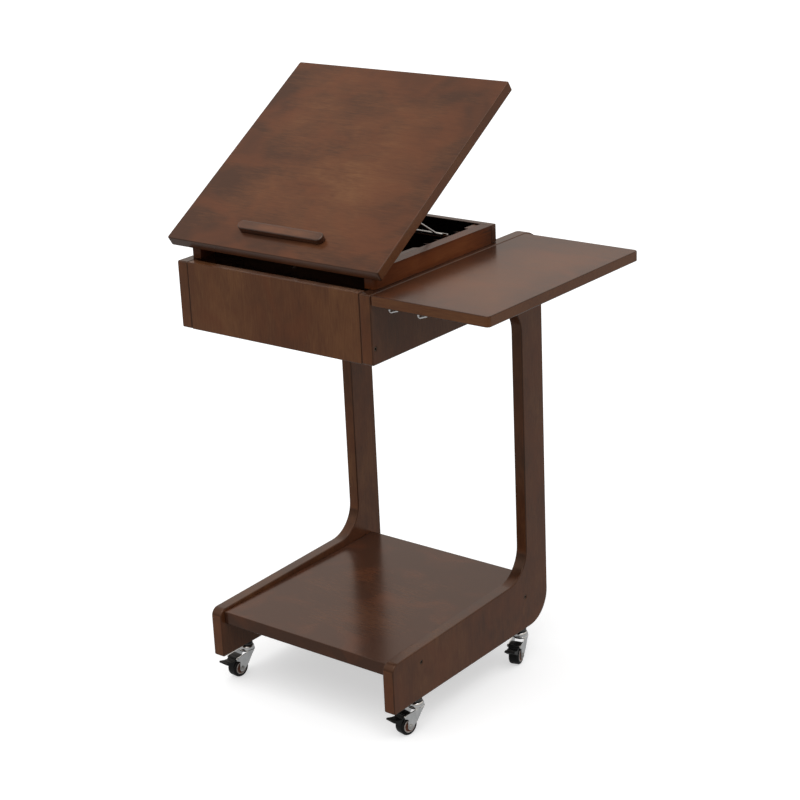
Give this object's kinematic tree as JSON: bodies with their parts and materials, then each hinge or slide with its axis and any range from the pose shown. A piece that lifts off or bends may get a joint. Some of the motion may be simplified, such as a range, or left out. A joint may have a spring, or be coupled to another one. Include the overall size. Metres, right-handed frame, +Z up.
{
  "type": "c-shaped end table",
  "caption": "C-shaped rolling end table in dark stained wood, with a tilting book board over a storage box, a drop leaf at one side and braked swivel casters.",
  "frame": {"origin": "on the floor under the middle of the whole table's bounding box, leaf and board included", "axes": "+Z up, -Y towards the front where the board is low, +X towards the drop leaf"},
  "size_m": [0.5566, 0.4002, 0.9082],
  "materials": {
    "walnut": "satin dark stain",
    "lining": "matt black",
    "steel": "zinc plated",
    "chrome": "polished",
    "bumper": "matt",
    "tyre": "matt",
    "hub": "satin",
    "pedal": "satin"
  },
  "bodies": {
    "table_frame": {"side_frame_left": "walnut", "side_frame_right": "walnut", "bottom_shelf": "walnut", "box_front": "walnut", "box_back": "walnut", "box_bottom": "lining", "box_cross_rail": "walnut", "ratchet_rail_left": "walnut", "ratchet_rail_right": "walnut", "ratchet_rear_rail": "walnut", "ratchet_strip_left": "walnut", "ratchet_strip_right": "walnut", "board_hinge_base_left": "steel", "board_hinge_base_right": "steel", "board_hinge_pin_left": "steel", "board_hinge_pin_right": "steel", "leaf_bracket_base_front": "steel", "leaf_bracket_base_rear": "steel", "leaf_bracket_pin_front": "steel", "leaf_bracket_pin_rear": "steel", "caster_fl_stem": "chrome", "caster_fr_stem": "chrome", "caster_rl_stem": "chrome", "caster_rr_stem": "chrome"},
    "tilt_board": {"tilt_board": "walnut", "book_ledge": "walnut", "board_hinge_leaf_left": "steel", "board_hinge_leaf_right": "steel", "board_bumper_left": "bumper", "board_bumper_right": "bumper", "bail_clip_left": "chrome", "bail_clip_right": "chrome"},
    "support_bail": {"support_bail": "chrome"},
    "drop_leaf": {"drop_leaf": "walnut", "leaf_hook_inner": "chrome", "leaf_hook_outer": "chrome", "leaf_bracket_arm_front": "steel", "leaf_bracket_arm_rear": "steel"},
    "swivel_fl": {"caster_fl_fork": "chrome", "caster_fl_axle": "steel"},
    "wheel_fl": {"caster_fl_tyre": "tyre", "caster_fl_hub": "hub"},
    "pedal_fl": {"caster_fl_pedal": "pedal"},
    "swivel_fr": {"caster_fr_fork": "chrome", "caster_fr_axle": "steel"},
    "wheel_fr": {"caster_fr_tyre": "tyre", "caster_fr_hub": "hub"},
    "pedal_fr": {"caster_fr_pedal": "pedal"},
    "swivel_rl": {"caster_rl_fork": "chrome", "caster_rl_axle": "steel"},
    "wheel_rl": {"caster_rl_tyre": "tyre", "caster_rl_hub": "hub"},
    "pedal_rl": {"caster_rl_pedal": "pedal"},
    "swivel_rr": {"caster_rr_fork": "chrome", "caster_rr_axle": "steel"},
    "wheel_rr": {"caster_rr_tyre": "tyre", "caster_rr_hub": "hub"},
    "pedal_rr": {"caster_rr_pedal": "pedal"}
  },
  "joints": [
    {"name": "board_tilt", "type": "hinge", "parent": "table_frame", "child": "tilt_board", "pos_m": [-0.08775, -0.17468, 0.7056], "axis": [1, 0, 0], "range_deg": [-32.8, 17]},
    {"name": "bail_fold", "type": "hinge", "parent": "tilt_board", "child": "support_bail", "pos_m": [-0.08775, -0.08054, 0.76627], "axis": [1, 0, 0], "range_deg": [-34.2, 65.8]},
    {"name": "leaf_drop", "type": "hinge", "parent": "table_frame", "child": "drop_leaf", "pos_m": [0.09725, -0.19988, 0.653], "axis": [0, 1, 0], "range_deg": [0, 90]},
    {"name": "swivel_turn_fl", "type": "hinge", "parent": "table_frame", "child": "swivel_fl", "pos_m": [-0.25325, -0.12888, 0.05097], "axis": [0, 0, 1], "continuous": true},
    {"name": "wheel_spin_fl", "type": "hinge", "parent": "swivel_fl", "child": "wheel_fl", "pos_m": [-0.25508, -0.1498, 0.01487], "axis": [0.9962, -0.0872, 0], "continuous": true},
    {"name": "pedal_press_fl", "type": "hinge", "parent": "swivel_fl", "child": "pedal_fl", "pos_m": [-0.25584, -0.15853, 0.03285], "axis": [0.9962, -0.0872, 0], "range_deg": [0, 13]},
    {"name": "swivel_turn_fr", "type": "hinge", "parent": "table_frame", "child": "swivel_fr", "pos_m": [0.07775, -0.12888, 0.05097], "axis": [0, 0, 1], "continuous": true},
    {"name": "wheel_spin_fr", "type": "hinge", "parent": "swivel_fr", "child": "wheel_fr", "pos_m": [0.07374, -0.14949, 0.01487], "axis": [0.9816, -0.1908, 0], "continuous": true},
    {"name": "pedal_press_fr", "type": "hinge", "parent": "swivel_fr", "child": "pedal_fr", "pos_m": [0.07207, -0.1581, 0.03285], "axis": [0.9816, -0.1908, 0], "range_deg": [0, 13]},
    {"name": "swivel_turn_rl", "type": "hinge", "parent": "table_frame", "child": "swivel_rl", "pos_m": [-0.25325, 0.13812, 0.05097], "axis": [0, 0, 1], "continuous": true},
    {"name": "wheel_spin_rl", "type": "hinge", "parent": "swivel_rl", "child": "wheel_rl", "pos_m": [-0.25472, 0.11717, 0.01487], "axis": [0.9976, -0.0698, 0], "continuous": true},
    {"name": "pedal_press_rl", "type": "hinge", "parent": "swivel_rl", "child": "pedal_rl", "pos_m": [-0.25533, 0.10842, 0.03285], "axis": [0.9976, -0.0698, 0], "range_deg": [0, 13]},
    {"name": "swivel_turn_rr", "type": "hinge", "parent": "table_frame", "child": "swivel_rr", "pos_m": [0.07775, 0.13812, 0.05097], "axis": [0, 0, 1], "continuous": true},
    {"name": "wheel_spin_rr", "type": "hinge", "parent": "swivel_rr", "child": "wheel_rr", "pos_m": [0.08318, 0.11783, 0.01487], "axis": [0.9659, 0.2588, 0], "continuous": true},
    {"name": "pedal_press_rr", "type": "hinge", "parent": "swivel_rr", "child": "pedal_rr", "pos_m": [0.08545, 0.10937, 0.03285], "axis": [0.9659, 0.2588, 0], "range_deg": [0, 13]}
  ],
  "couplings": [
    {"joint": "bail_fold", "follows": "board_tilt", "ratio": -2}
  ]
}
